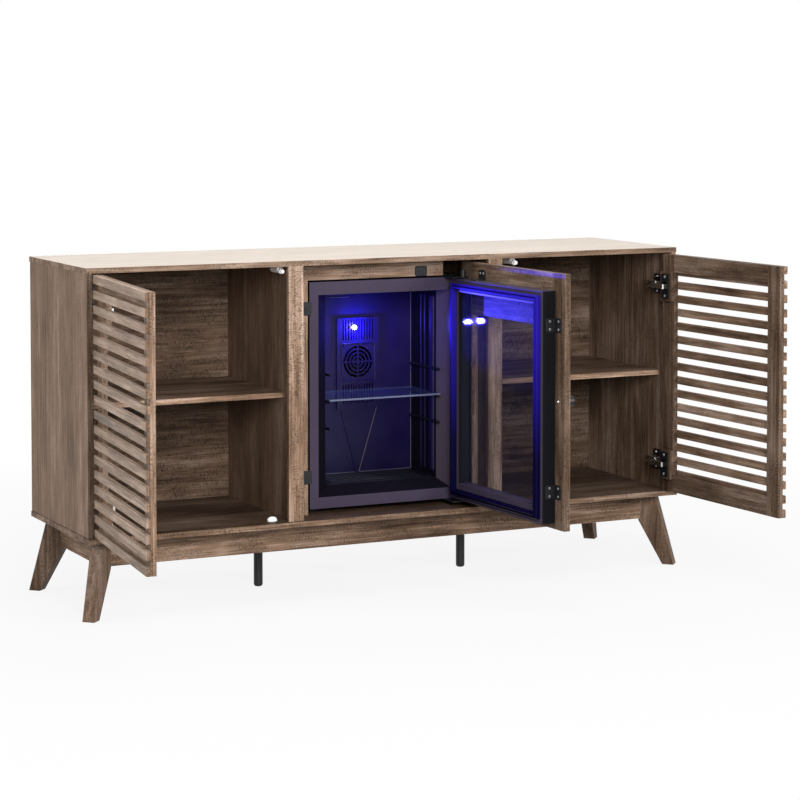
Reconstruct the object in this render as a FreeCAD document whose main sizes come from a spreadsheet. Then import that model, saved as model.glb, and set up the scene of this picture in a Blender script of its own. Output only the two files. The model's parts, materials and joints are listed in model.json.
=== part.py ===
"""Sideboard on splayed legs with two louvred doors and a built-in glass-door fridge.

Millimetres. X runs to the right, Y to the back and Z up. The origin is on the floor under the middle
of the carcass. The doors stand open, as they do at rest, and turn about their own hinge axes.
"""
import FreeCAD, Part
import math
import os

DIMENSIONS = [
    # Carcass boards
    ("carcass_width", 1500),
    ("carcass_depth", 400),
    ("carcass_height", 603),
    ("leg_height", 171),
    ("board", 12),
    ("top_overhang", 2),
    ("bottom_lip", 9.5),
    ("back_board", 5),
    ("stile_width", 36),
    ("stile_centre", 254),
    ("shelf_level", 288),
    ("shelf_setback", 55),
    ("shelf_side_gap", 0.5),
    ("pin_radius", 2.5),
    ("pin_length", 8),
    ("pin_inset", 45),
    ("vent_width", 300),
    ("vent_height", 400),
    ("vent_bottom", 90),
    # Plinth
    ("apron_height", 62),
    ("apron_board", 15),
    ("apron_recess", 49),
    ("side_apron_recess", 48),
    ("leg_splay", 47),
    ("leg_top_width", 41),
    ("leg_foot_width", 28),
    ("leg_thickness", 29),
    ("leg_knee_drop", 66),
    ("leg_edge", 1.5),
    ("rod_radius", 10.5),
    ("rod_span", 265),
    ("rod_flange_radius", 24),
    ("rod_flange", 3),
    ("rod_round", 6),
    # Louvred doors
    ("door_gap", 2),
    ("door_floor_gap", 2.5),
    ("door_top_gap", 3),
    ("door_stile", 45),
    ("door_rail", 42),
    ("door_frame", 12),
    ("slat_thickness", 9),
    ("slat_height", 18),
    ("slat_count", 18),
    ("left_door_angle", 96),
    ("right_door_angle", 93),
    # Concealed hinges of the louvred doors
    ("hinge_low_inset", 65.5),
    ("hinge_top_inset", 77),
    ("block_height", 70),
    ("block_thickness", 10),
    ("block_edge_gap", 3),
    ("cup_setback", 22),
    ("cup_radius", 13),
    ("cup_depth", 9),
    ("cup_wall", 1),
    ("flange_height", 60),
    ("flange_width", 30),
    ("flange", 1.5),
    ("plate", 3),
    ("plate_height", 48),
    ("plate_depth", 26),
    ("arm_front", 35),
    ("arm_length", 50),
    ("arm_reach", 20),
    ("arm_height", 16),
    ("arm_wall", 2),
    ("link_height", 11),
    ("link_width", 8),
    ("link_rise", 5.5),
    ("link_tip_gap", 0.3),
    ("link_pin_radius", 2),
    ("link_pin_set", 12),
    ("running_gap", 0.05),
    ("clear_gap", 0.5),
    # Push latches
    ("left_latch_from_stile", -2),
    ("right_latch_from_stile", 41),
    ("latch_length", 62),
    ("latch_width", 14),
    ("latch_height", 20),
    ("latch_front", 28),
    ("plunger_radius", 4),
    ("plunger_length", 30),
    ("catch_from_stile", 15),
    ("catch_width", 28),
    ("catch_depth", 18),
    ("catch_height", 10),
    # Fridge bay trim
    ("rail_drop", 39.5),
    ("rail_end", 150),
    ("filler_gap", 4.5),
    ("bracket_lap", 4),
    ("bracket_low", 75),
    ("bracket_high", 60),
    ("top_bracket_left", 77),
    ("top_bracket_width", 30),
    ("top_bracket_height", 24),
    ("bracket_width", 22),
    ("bracket_height", 31),
    ("bracket", 3),
    # Fridge
    ("fridge_free_gap", 44),
    ("fridge_hinge_gap", 8),
    ("fridge_height", 523),
    ("fridge_rear_gap", 32),
    ("fridge_setback", 66),
    ("fridge_foot", 12),
    ("foot_radius", 15),
    ("foot_inset", 32),
    ("front_frame", 60),
    ("front_flat", 22),
    ("front_flat_hinge", 58),
    ("front_flat_top", 30),
    ("front_flat_bottom", 26),
    ("wall_side", 63),
    ("wall_top", 32),
    ("wall_bottom", 38),
    ("liner", 3),
    ("cooler_depth", 101),
    ("cooler_recess", 42),
    ("cover_width", 110),
    ("cover_height", 218),
    ("cover", 6),
    ("cover_bottom", 161),
    ("cover_lap", 6),
    ("fan_height", 112),
    ("fan_hole_radius", 38),
    ("guard_ring", 3),
    ("guard_step", 9),
    ("slot_width", 3),
    ("slot_pitch", 7),
    ("slot_height", 50),
    ("slot_count", 12),
    ("slot_margin", 4),
    ("low_slot_margin", 12),
    ("low_slot_height", 46),
    ("rotor_radius", 34),
    ("rotor_hub", 13),
    ("rotor_depth", 12),
    ("rotor_blades", 7),
    ("rotor_setback", 6),
    ("blade", 2),
    ("motor_radius", 11),
    ("motor_shaft", 2),
    ("motor_gap", 0.6),
    ("sink_width", 84),
    ("sink_base", 5),
    ("sink_fin", 2),
    ("sink_fins", 9),
    ("cold_fin_height", 11),
    ("chip_width", 40),
    ("chip_depth", 20),
    ("well_width", 140),
    ("hot_fin_height", 28),
    ("grille", 3),
    ("grille_margin", 8),
    ("grille_holes", 9),
    ("grille_hole_radius", 5),
    ("inlet_width", 30),
    ("inlet_height", 24),
    ("inlet_depth", 9),
    ("inlet_wall", 3),
    ("led_width", 24),
    ("led_height", 8),
    ("led_depth", 3),
    ("led_drop", 19),
    ("led_offset", -10),
    ("shelf_glass", 4),
    ("shelf_glass_level", 203),
    ("shelf_glass_reach", 24),
    ("shelf_glass_gap", 1),
    ("ledge", 6),
    ("ledge_height", 5),
    ("ledge_step", 63),
    # Fridge door and the wooden frame that it carries
    ("hinge_side_gap", 48),
    ("hinge_setback", 26),
    ("centre_door_angle", 92.6),
    ("front_frame_free_gap", 5),
    ("front_frame_hinge_gap", 10.5),
    ("front_frame_thickness", 15),
    ("front_frame_top_gap", 7),
    ("front_frame_stile", 52),
    ("front_frame_rail", 121),
    ("front_frame_sill", 43),
    ("glass_door_bottom_gap", 4),
    ("glass_door_top_gap", 2),
    ("glass_door_hinge_gap", 10),
    ("glass_door_depth", 33),
    ("glass_door_stile", 38),
    ("glass_door_head", 30),
    ("glass_door_sill", 38),
    ("pane", 4),
    ("pane_inset", 8),
    ("pane_gap", 14),
    ("gasket_width", 13),
    ("gasket_inset", 10),
    ("gasket_gap", 0.4),
    ("gasket_hinge_inset", 14),
    ("gasket_relief", 4),
    ("gasket_relief_start", 3),
    ("hinge_bore_depth", 24),
    ("hinge_pin_radius", 4),
    ("hinge_plate", 3),
    ("hinge_plate_end", 7.5),
    ("hinge_head_radius", 7),
    ("hinge_head", 16),
    ("hinge_head_offset", 6),
    ("hinge_plate_back", 67),
    ("hinge_plate_width", 37),
    ("butterfly_height", 32),
    ("butterfly_leaf", 25),
    ("butterfly_wood_leaf", 26),
    ("butterfly", 2),
    ("butterfly_low", 70),
    ("butterfly_high", 76),
    ("tab_width", 30),
    ("tab_left", 112),
    ("knob_radius", 12),
    ("knob_stem_radius", 5),
    ("knob_stem", 8),
    ("knob_head", 12),
    ("knob_inset", 26),
    ("knob_level", 285.5),
]

doc = FreeCAD.newDocument("sideboard")
sheet = doc.addObject("Spreadsheet::Sheet", "dims")
for row, (alias, value) in enumerate(DIMENSIONS, start=1):
    sheet.set(f"A{row}", alias)
    sheet.set(f"B{row}", str(value))
    sheet.setAlias(f"B{row}", alias)
doc.recompute()


class Size:
    """A length that knows both its number and the sheet expression that gives it."""

    def __init__(self, text, number):
        self.text = text
        self.number = number

    def combine(self, other, sign, number):
        return Size(f"({self.text} {sign} {as_size(other).text})", number)

    def __add__(self, other):
        return self.combine(other, "+", self.number + as_size(other).number)

    def __sub__(self, other):
        return self.combine(other, "-", self.number - as_size(other).number)

    def __mul__(self, other):
        return self.combine(other, "*", self.number * as_size(other).number)

    def __truediv__(self, other):
        return self.combine(other, "/", self.number / as_size(other).number)

    def __neg__(self):
        return Size(f"(0 - {self.text})", -self.number)


def as_size(value):
    return value if isinstance(value, Size) else Size(repr(value), float(value))


class Dimensions:
    """The sheet's cells as sizes, by their aliases."""

    def __getattr__(self, alias):
        return Size(f"dims.{alias}", float(sheet.get(alias)))


d = Dimensions()
nodes = []


def count(size):
    return int(round(size.number))


def keep(shape, label):
    """Makes an object of the document a named sub-part."""
    shape.Label = label
    nodes.append(shape)
    return shape


def place(shape, x, y, z):
    for axis, value in zip("xyz", (x, y, z)):
        shape.setExpression(f"Placement.Base.{axis}", as_size(value).text)
    return shape


def box(name, x, y, z):
    """A board between low and high values along each axis."""
    board = doc.addObject("Part::Box", name)
    for side, (low, high) in zip(("Length", "Width", "Height"), (x, y, z)):
        board.setExpression(side, (as_size(high) - low).text)
    return place(board, x[0], y[0], z[0])


def cylinder(name, radius, height, x, y, z, turn=None):
    """A round bar from a base point, along Z or turned to another axis."""
    bar = doc.addObject("Part::Cylinder", name)
    bar.setExpression("Radius", as_size(radius).text)
    bar.setExpression("Height", as_size(height).text)
    if turn:
        bar.Placement.Rotation = turn
    return place(bar, x, y, z)


def cut(name, base, *tools):
    for number, tool in enumerate(tools):
        trimmed = doc.addObject("Part::Cut", f"{name}_cut{number}")
        trimmed.Base = base
        trimmed.Tool = tool
        base = trimmed
    return base


def fuse(name, *solids):
    joined = doc.addObject("Part::MultiFuse", name)
    joined.Shapes = list(solids)
    joined.Refine = True
    return joined


def group(name, solids):
    """Separate solids that make one node."""
    together = doc.addObject("Part::Compound", name)
    together.Links = list(solids)
    return together


def solid(name, shape):
    feature = doc.addObject("Part::Feature", name)
    feature.Shape = shape
    return feature


def swing(shape, pivot_x, pivot_y, angle):
    """Turns a piece drawn about its hinge axis to its open angle and moves it to that axis."""
    shape.Placement.Rotation = FreeCAD.Rotation(FreeCAD.Vector(0, 0, 1), angle.number)
    shape.setExpression("Placement.Rotation.Angle", angle.text)
    return place(shape, pivot_x, pivot_y, 0)


def mirrored(side, low, high):
    """Low and high values on the left (side -1) or the right (side 1) of the middle."""
    low, high = as_size(low), as_size(high)
    return (low, high) if side > 0 else (-high, -low)


ALONG_Y = FreeCAD.Rotation(FreeCAD.Vector(1, 0, 0), -90)
ALONG_X = FreeCAD.Rotation(FreeCAD.Vector(0, 1, 0), 90)
SIDES = (("left", -1), ("right", 1))

# Levels and planes that several pieces share
half_width = d.carcass_width / 2
front = -(d.carcass_depth / 2)
back = d.carcass_depth / 2
side_out = half_width - d.top_overhang
side_in = side_out - d.board
bay_floor = d.leg_height + d.board
bay_top = d.leg_height + d.carcass_height - d.board
worktop = d.leg_height + d.carcass_height
back_face = back - d.back_board
stile_in = d.stile_centre - d.stile_width / 2
stile_out = d.stile_centre + d.stile_width / 2
stile_back = front + d.board
partition_in = d.stile_centre - d.board / 2
partition_out = d.stile_centre + d.board / 2
shelf_front = front + d.shelf_setback
shelf_top = bay_floor + d.shelf_level
shelf_bottom = shelf_top - d.board


def carcass():
    full = (-half_width, half_width)
    keep(box("top", full, (front, back), (bay_top, worktop)), "top_panel")
    keep(box("bottom", full, (front - d.bottom_lip, back), (d.leg_height, bay_floor)), "bottom_panel")
    upright = (bay_floor, bay_top)
    for word, side in SIDES:
        keep(box(f"{word}_side", mirrored(side, side_in, side_out), (front, back), upright),
             f"{word}_side_panel")
        across_bay = mirrored(side, partition_in, partition_out)
        keep(box(f"{word}_part", across_bay, (stile_back, back_face), upright),
             f"{word}_partition")
        keep(box(f"{word}_post", mirrored(side, stile_in, stile_out), (front, stile_back), upright),
             f"{word}_stile")
        keep(box(f"{word}_back", mirrored(side, d.stile_centre, side_in), (back_face, back), upright),
             f"{word}_back_panel")
        shelf_span = mirrored(side, partition_out + d.shelf_side_gap, side_in - d.shelf_side_gap)
        keep(box(f"{word}_board", shelf_span, (shelf_front, back_face), (shelf_bottom, shelf_top)),
             f"{word}_shelf")
    sheet_back = box("centre_back", (-d.stile_centre, d.stile_centre), (back_face, back), upright)
    vent_low = bay_floor + d.vent_bottom
    vent = box("vent", (-(d.vent_width / 2), d.vent_width / 2), (back_face - 1, back + 1),
               (vent_low, vent_low + d.vent_height))
    keep(cut("centre_back", sheet_back, vent), "centre_back_panel")


def shelf_pins():
    """Pins that stand out of the bay walls under the four corners of each shelf."""
    pins = []
    level = shelf_bottom - d.pin_radius
    for word, side in SIDES:
        for end, wall in (("outer", side_in - d.pin_length), ("inner", partition_out)):
            start = mirrored(side, wall, wall + d.pin_length)[0]
            depths = (("front", shelf_front + d.pin_inset), ("rear", back_face - d.pin_inset))
            for place_word, depth in depths:
                name = f"pin_{word}_{end}_{place_word}"
                pins.append(cylinder(name, d.pin_radius, d.pin_length, start, depth, level, ALONG_X))
    keep(group("pins", pins), "shelf_pins")


def leg_shape():
    """A flat tapered leg in the X-Z plane: its foot ends at X = 0 and its top is set back by the splay."""
    height = d.leg_height.number
    splay = d.leg_splay.number
    inner = -splay - d.leg_top_width.number
    knee = height - d.leg_knee_drop.number
    half = d.leg_thickness.number / 2
    outline = [(0, 0), (-splay, height), (inner, height), (inner, knee), (-d.leg_foot_width.number, 0)]
    points = [FreeCAD.Vector(x, -half, z) for x, z in outline]
    face = Part.Face(Part.makePolygon(points + points[:1]))
    leg = face.extrude(FreeCAD.Vector(0, 2 * half, 0))
    long_edges = [edge for edge in leg.Edges if abs(edge.tangentAt(edge.FirstParameter).y) < 0.5
                  and abs(edge.tangentAt(edge.FirstParameter).z) > 0.5]
    return leg.makeFillet(d.leg_edge.number, long_edges)


def plinth():
    """Legs on the corner diagonals, the aprons between them and two rods under the middle."""
    legs = {}
    for end, along in (("front", -1), ("rear", 1)):
        for word, side in SIDES:
            leg = solid(f"leg_{end}_{word}", leg_shape())
            outward = math.degrees(math.atan2(along, side))
            leg.Placement.Rotation = FreeCAD.Rotation(FreeCAD.Vector(0, 0, 1), outward)
            place(leg, half_width * side, back * along, 0)
            legs[end, word] = keep(leg, f"{end}_{word}_leg")
    apron_z = (d.leg_height - d.apron_height, d.leg_height)
    reach = (d.leg_splay + d.leg_top_width / 2) * math.sqrt(0.5)
    near = back - d.apron_recess
    long_bars = []
    for end, along in (("front", -1), ("rear", 1)):
        span = (-(half_width - reach), half_width - reach)
        bar = box(f"apron_{end}", span, mirrored(along, near - d.apron_board, near), apron_z)
        bar = cut(f"apron_{end}", bar, legs[end, "left"], legs[end, "right"])
        long_bars.append(keep(bar, f"{end}_apron"))
    side_near = half_width - d.side_apron_recess
    side_bars = []
    for word, side in SIDES:
        span = (-(back - reach), back - reach)
        bar = box(f"apron_{word}", mirrored(side, side_near - d.apron_board, side_near), span, apron_z)
        side_bars.append(cut(f"apron_{word}", bar, legs["front", word], legs["rear", word], *long_bars))
    keep(group("side_bars", side_bars), "side_aprons")
    rods = [solid(f"rod_{word}", rod_shape()) for word, side in SIDES]
    for rod, (word, side) in zip(rods, SIDES):
        place(rod, d.rod_span * side, 0, 0)
    keep(group("rods", rods), "support_legs")


def rod_shape():
    """A round rod with a rounded foot and a fixing flange under the bottom panel."""
    height = d.leg_height.number
    rod = Part.makeCylinder(d.rod_radius.number, height)
    foot = [edge for edge in rod.Edges if edge.Closed and edge.BoundBox.ZMax < 1]
    rod = rod.makeFillet(d.rod_round.number, foot)
    thickness = d.rod_flange.number
    flange_start = FreeCAD.Vector(0, 0, height - thickness)
    flange = Part.makeCylinder(d.rod_flange_radius.number, thickness, flange_start)
    return rod.fuse(flange).removeSplitter()


door_bottom = bay_floor + d.door_floor_gap
door_top = bay_top - d.door_top_gap
door_width = side_in - stile_out - d.door_gap * 2
door_depth = d.slat_thickness + d.door_frame
door_pivot = side_in - d.door_gap
hinge_levels = (door_bottom + d.hinge_low_inset, door_top - d.hinge_top_inset)
block_face = door_depth + d.block_thickness


def across(side, low, high):
    """Values across a door from its hinge edge: the left door runs to +X from its pivot, the right to -X."""
    return mirrored(-side, low, high)


def louvred_door(word, side, angle):
    """Frame with its hinge blocks, slats and hinge cups, drawn shut about the hinge axis and swung open."""
    pivot = (door_pivot * side, front, angle * side)
    frame_y = (d.slat_thickness, door_depth)
    tall = (door_bottom, door_top)
    inner = (d.door_stile, door_width - d.door_stile)
    frame = [
        box(f"{word}_hinge_stile", across(side, 0, d.door_stile), frame_y, tall),
        box(f"{word}_free_stile", across(side, inner[1], door_width), frame_y, tall),
        box(f"{word}_low_rail", across(side, *inner), frame_y, (door_bottom, door_bottom + d.door_rail)),
        box(f"{word}_top_rail", across(side, *inner), frame_y, (door_top - d.door_rail, door_top)),
    ]
    slats = []
    pitch = (door_top - door_bottom - d.slat_height) / (d.slat_count - 1)
    for number in range(count(d.slat_count)):
        low = door_bottom + pitch * number
        slats.append(box(f"{word}_slat{number}", across(side, 0, door_width), (0, d.slat_thickness),
                         (low, low + d.slat_height)))
    keep(swing(group(f"{word}_slats", slats), *pivot), f"{word}_door_slats")
    cups = []
    cup_x = d.cup_setback * -side
    for number, level in enumerate(hinge_levels):
        name = f"{word}_hinge{number}"
        half = d.block_height / 2
        block = box(f"{name}_block", across(side, d.block_edge_gap, d.door_stile), (door_depth, block_face),
                    (level - half, level + half))
        seat = cylinder(f"{name}_seat", d.cup_radius, d.cup_depth + 1, cup_x, block_face - d.cup_depth, level,
                        ALONG_Y)
        frame.append(cut(f"{name}_block", block, seat))
        dish = cylinder(f"{name}_dish", d.cup_radius, d.cup_depth, cup_x, block_face - d.cup_depth, level,
                        ALONG_Y)
        half_flange = d.flange_width / 2
        wing_x = (cup_x - half_flange, cup_x + half_flange)
        wing = box(f"{name}_wing", wing_x, (block_face, block_face + d.flange),
                   (level - d.flange_height / 2, level + d.flange_height / 2))
        hollow = cylinder(f"{name}_hollow", d.cup_radius - d.cup_wall, d.cup_depth + d.flange, cup_x,
                          block_face - d.cup_depth + d.cup_wall, level, ALONG_Y)
        cups.append(cut(f"{name}_cup", fuse(f"{name}_body", dish, wing), hollow))
    keep(swing(group(f"{word}_frame", frame), *pivot), f"{word}_door_frame")
    keep(swing(group(f"{word}_cups", cups), *pivot), f"{word}_hinge_cups")


arm_start = front + d.arm_front
arm_end = arm_start + d.arm_length
arm_root = side_in - d.plate
link_pin_x = side_in - d.link_pin_set
link_pin_y = arm_start + d.arm_height / 4


def hinge_arms():
    """Winged plates on the side panels, and on each a channel-shaped arm with the link's pin across it."""
    plates = []
    arms = []
    for word, side in SIDES:
        for number, level in enumerate(hinge_levels):
            name = f"{word}_arm{number}"
            middle = arm_start + d.arm_length / 2
            plates.append(box(f"{name}_plate", mirrored(side, arm_root, side_in),
                              (middle - d.plate_depth / 2, middle + d.plate_depth / 2),
                              (level - d.plate_height / 2, level + d.plate_height / 2)))
            tall = (level - d.arm_height / 2, level + d.arm_height / 2)
            channel = box(f"{name}_channel", mirrored(side, arm_root - d.arm_reach, arm_root),
                          (arm_start, arm_end), tall)
            room = box(f"{name}_room", mirrored(side, arm_root - d.arm_reach - 1, arm_root - d.arm_wall),
                       (arm_start - 1, arm_end + 1), (tall[0] + d.arm_wall, tall[1] - d.arm_wall))
            pin = cylinder(f"{name}_pin", d.link_pin_radius, d.arm_height, link_pin_x * side, link_pin_y,
                           tall[0])
            arms.append(fuse(f"{name}_arm", cut(f"{name}_channel", channel, room), pin))
    keep(group("plates", plates), "hinge_plates")
    keep(group("arms", arms), "hinge_arms")


def link_shape(side, angle):
    """A cranked link from the arm's pin over the block's edge into the hinge cup of the open door."""
    turn = math.radians(angle.number)
    pivot_to_pin = (door_pivot.number - link_pin_x.number, link_pin_y.number - front.number)

    def in_door(point):
        """A point of the shut door, from its hinge axis, at the open door's place from the link's pin."""
        across_door, through_door = point
        x = across_door * math.cos(turn) + through_door * math.sin(turn)
        y = through_door * math.cos(turn) - across_door * math.sin(turn)
        return x - pivot_to_pin[0], y - pivot_to_pin[1]

    over = block_face.number + d.flange.number + d.link_rise.number
    cup = d.cup_setback.number
    half = d.link_width.number / 2
    dish_floor = block_face.number - d.cup_depth.number + d.cup_wall.number
    tip = dish_floor + d.link_tip_gap.number
    path = [(0, 0), in_door((-cup, over)), in_door((cup, over)), in_door((cup, tip))]
    height = d.link_height.number
    low = FreeCAD.Vector(0, 0, -height / 2)
    pieces = []
    for start, end in zip(path, path[1:]):
        run = math.hypot(end[0] - start[0], end[1] - start[1])
        bar = Part.makeBox(run, 2 * half, height, FreeCAD.Vector(0, -half, -height / 2))
        heading = math.degrees(math.atan2(end[1] - start[1], end[0] - start[0]))
        bar.Placement = FreeCAD.Placement(FreeCAD.Vector(*start, 0),
                                          FreeCAD.Rotation(FreeCAD.Vector(0, 0, 1), heading))
        pieces.append(bar)
    for point in path[:-1]:
        pieces.append(Part.makeCylinder(half, height, FreeCAD.Vector(*point, 0) + low))
    link = pieces[0].multiFuse(pieces[1:]).removeSplitter()
    bore = Part.makeCylinder(d.link_pin_radius.number + d.running_gap.number, height, low)
    link = link.cut(bore)
    return link if side < 0 else link.mirror(FreeCAD.Vector(0, 0, 0), FreeCAD.Vector(1, 0, 0))


def hinge_links(word, side, angle):
    links = []
    for number, level in enumerate(hinge_levels):
        link = solid(f"{word}_link{number}", link_shape(side, angle))
        links.append(place(link, link_pin_x * side, link_pin_y, level))
    keep(group(f"{word}_links", links), f"{word}_hinge_links")


latch_front = front + d.latch_front
shut_door_face = front + door_depth


def latches():
    """Push latches under the top, their plungers, and door stops on the floor, beside the two stiles."""
    fixed = []
    insets = {"left": d.left_latch_from_stile, "right": d.right_latch_from_stile}
    for word, side in SIDES:
        near = stile_out + insets[word]
        low = bay_top - d.latch_height
        body = box(f"{word}_latch", mirrored(side, near, near + d.latch_width),
                   (latch_front, latch_front + d.latch_length), (low, bay_top))
        axis_x = (near + d.latch_width / 2) * side
        axis_z = low + d.latch_width / 2
        tip = shut_door_face + d.clear_gap
        bore_length = d.latch_length - d.latch_width
        bore = cylinder(f"{word}_bore", d.plunger_radius + d.running_gap, bore_length, axis_x,
                        latch_front - 1, axis_z, ALONG_Y)
        fixed.append(cut(f"{word}_latch", body, bore))
        keep(cylinder(f"{word}_plunger", d.plunger_radius, d.plunger_length, axis_x, tip, axis_z, ALONG_Y),
             f"{word}_latch_plunger")
        stop = stile_out + d.catch_from_stile
        fixed.append(box(f"{word}_catch", mirrored(side, stop, stop + d.catch_width),
                         (shut_door_face + d.clear_gap, shut_door_face + d.clear_gap + d.catch_depth),
                         (bay_floor, bay_floor + d.catch_height)))
    keep(group("latches", fixed), "latch_housings")


fridge_left = d.fridge_free_gap - stile_in
fridge_right = stile_in - d.fridge_hinge_gap
fridge_half = (fridge_right - fridge_left) / 2
fridge_middle = (fridge_left + fridge_right) / 2
fridge_bottom = bay_floor + d.fridge_foot
fridge_top = fridge_bottom + d.fridge_height
fridge_front = front + d.fridge_setback
shell_front = fridge_front + d.front_frame
fridge_back = back_face - d.fridge_rear_gap
liner_half = fridge_half - d.wall_side
liner_low = fridge_bottom + d.wall_bottom
liner_high = fridge_top - d.wall_top
cavity_back = fridge_back - d.cooler_depth
liner_back = cavity_back + d.liner
recess_back = cavity_back + d.cooler_recess
cover_low = liner_low + d.cover_bottom
cover_high = cover_low + d.cover_height
cover_front = cavity_back - d.cover
fan_level = cover_low + d.fan_height
well_front = recess_back + d.chip_depth
rail_bottom = bay_top - d.rail_drop
filler_y = (fridge_front, fridge_front + d.board)


def fridge_trim():
    """Rail and filler strip round the fridge, and the brackets that hold it there."""
    keep(box("rail", (-partition_in, d.rail_end), filler_y, (rail_bottom, bay_top)), "fridge_rail")
    strip = (-partition_in, fridge_left - d.filler_gap)
    keep(box("filler", strip, filler_y, (bay_floor, rail_bottom)), "fridge_filler")
    on_front = (fridge_front - d.bracket, fridge_front)
    edge = fridge_left + d.bracket_lap
    brackets = []
    for number, level in enumerate((fridge_bottom + d.bracket_low, fridge_top - d.bracket_high)):
        brackets.append(box(f"side_bracket{number}", (edge - d.bracket_width, edge), on_front,
                            (level - d.bracket_height / 2, level + d.bracket_height / 2)))
    top_x = (d.top_bracket_left, d.top_bracket_left + d.top_bracket_width)
    brackets.append(box("top_bracket", top_x, on_front,
                        (rail_bottom, rail_bottom + d.top_bracket_height)))
    keep(group("brackets", brackets), "fridge_brackets")


def centred(half):
    """Low and high values on each side of the fridge's own middle."""
    return fridge_middle - half, fridge_middle + half


def ring(name, outer_x, outer_z, inner_x, inner_z, y):
    """A rectangular frame through a depth along Y."""
    slab = box(f"{name}_slab", outer_x, y, outer_z)
    hole = box(f"{name}_hole", inner_x, (y[0] - 1, y[1] + 1), inner_z)
    return cut(name, slab, hole)


def funnel(front_x, front_z, back_x, back_z, y):
    """The splayed mouth of the fridge: a solid that narrows from the front opening to the liner's."""
    wires = []
    for depth, (low_x, high_x), (low_z, high_z) in ((y[0], front_x, front_z), (y[1], back_x, back_z)):
        corners = [(low_x, low_z), (high_x, low_z), (high_x, high_z), (low_x, high_z)]
        points = [FreeCAD.Vector(x.number, depth.number, z.number) for x, z in corners]
        wires.append(Part.makePolygon(points + points[:1]))
    return solid("mouth_funnel", Part.makeLoft(wires, True, True))


def fridge_case():
    """Insulated shell, inner liner, splayed front frame, feet and power inlet."""
    wide = (fridge_left, fridge_right)
    tall = (fridge_bottom, fridge_top)
    core_x = centred(liner_half)
    core_z = (liner_low, liner_high)
    recess_x = centred(d.cover_width / 2 - d.cover_lap)
    recess_z = (cover_low + d.cover_lap, cover_high - d.cover_lap)
    half_chip = d.chip_width / 2 + d.clear_gap
    half_well = d.well_width / 2
    block = box("shell_block", wide, (shell_front, fridge_back), tall)
    core = box("shell_core", core_x, (shell_front - 1, liner_back), core_z)
    recess = box("shell_recess", recess_x, (liner_back - 1, recess_back), recess_z)
    passage = box("shell_passage", centred(half_chip), (recess_back - 1, well_front + 1),
                  (fan_level - half_chip, fan_level + half_chip))
    well = box("shell_well", centred(half_well), (well_front, fridge_back + 1),
               (fan_level - half_well, fan_level + half_well))
    keep(cut("shell", block, core, recess, passage, well), "fridge_shell")
    inner_x = centred(liner_half - d.liner)
    inner_z = (liner_low + d.liner, liner_high - d.liner)
    tub = box("liner_tub", core_x, (shell_front, liner_back), core_z)
    room = box("liner_room", inner_x, (shell_front - 1, cavity_back), inner_z)
    mouth = box("liner_mouth", recess_x, (cavity_back - 1, liner_back + 1), recess_z)
    keep(cut("tub", tub, room, mouth), "fridge_liner")
    slab = box("front_slab", wide, (fridge_front, shell_front), tall)
    opening = funnel((fridge_left + d.front_flat, fridge_right - d.front_flat_hinge),
                     (fridge_bottom + d.front_flat_bottom, fridge_top - d.front_flat_top),
                     inner_x, inner_z, (fridge_front, shell_front))
    keep(cut("front_ring", slab, opening), "fridge_front_frame")
    feet = []
    for word, x in (("left", fridge_left + d.foot_inset), ("right", fridge_right - d.foot_inset)):
        for end, y in (("front", shell_front), ("rear", fridge_back - d.foot_inset)):
            feet.append(cylinder(f"foot_{word}_{end}", d.foot_radius, d.fridge_foot, x, y, bay_floor))
    keep(group("feet", feet), "fridge_feet")
    socket_x = fridge_right - d.foot_inset - d.inlet_width
    socket_z = fridge_bottom + d.foot_inset
    body = box("inlet_body", (socket_x, socket_x + d.inlet_width), (fridge_back, fridge_back + d.inlet_depth),
               (socket_z, socket_z + d.inlet_height))
    pocket = box("inlet_pocket", (socket_x + d.inlet_wall, socket_x + d.inlet_width - d.inlet_wall),
                 (fridge_back + d.inlet_wall, fridge_back + d.inlet_depth + 1),
                 (socket_z + d.inlet_wall, socket_z + d.inlet_height - d.inlet_wall))
    keep(cut("inlet", body, pocket), "power_inlet")


def slots(name, level, height):
    """A row of upright slots through the fan cover."""
    row = []
    first = fridge_middle - (d.slot_pitch * (d.slot_count - 1) + d.slot_width) / 2
    for number in range(count(d.slot_count)):
        low = first + d.slot_pitch * number
        row.append(box(f"{name}{number}", (low, low + d.slot_width), (cover_front - 1, cavity_back + 1),
                       (level, level + height)))
    return fuse(name, *row)


def fan_cover():
    """Cover plate over the cold side, with slots, a round guard and a lamp on its front."""
    plate = box("cover_plate", centred(d.cover_width / 2), (cover_front, cavity_back),
                (cover_low, cover_high))
    upper = slots("upper_slot", cover_high - d.slot_margin - d.slot_height, d.slot_height)
    lower = slots("lower_slot", cover_low + d.low_slot_margin, d.low_slot_height)
    gaps = []
    thick = d.cover + 2
    radius = d.fan_hole_radius
    for number in range(4):
        ring_out = cylinder(f"guard_out{number}", radius - d.guard_step * number, thick, fridge_middle,
                            cover_front - 1, fan_level, ALONG_Y)
        ring_in = cylinder(f"guard_in{number}", radius - d.guard_step * (number + 1) + d.guard_ring, thick,
                           fridge_middle, cover_front - 1, fan_level, ALONG_Y)
        gaps.append(cut(f"guard{number}", ring_out, ring_in))
    openings = fuse("guard_gaps", *gaps)
    half_spoke = d.guard_ring / 2
    depth = (cover_front - 2, cavity_back + 2)
    upright = box("spoke_up", centred(half_spoke), depth, (fan_level - radius, fan_level + radius))
    level = box("spoke_level", centred(radius), depth, (fan_level - half_spoke, fan_level + half_spoke))
    holes = cut("guard_holes", openings, upright, level)
    keep(cut("cover", plate, upper, lower, holes), "fan_cover")
    led_left = fridge_middle + d.led_offset - d.led_width / 2
    led_z = cover_high - d.led_drop
    keep(box("led", (led_left, led_left + d.led_width), (cover_front - d.led_depth, cover_front),
             (led_z - d.led_height, led_z)), "led_module")


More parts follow.
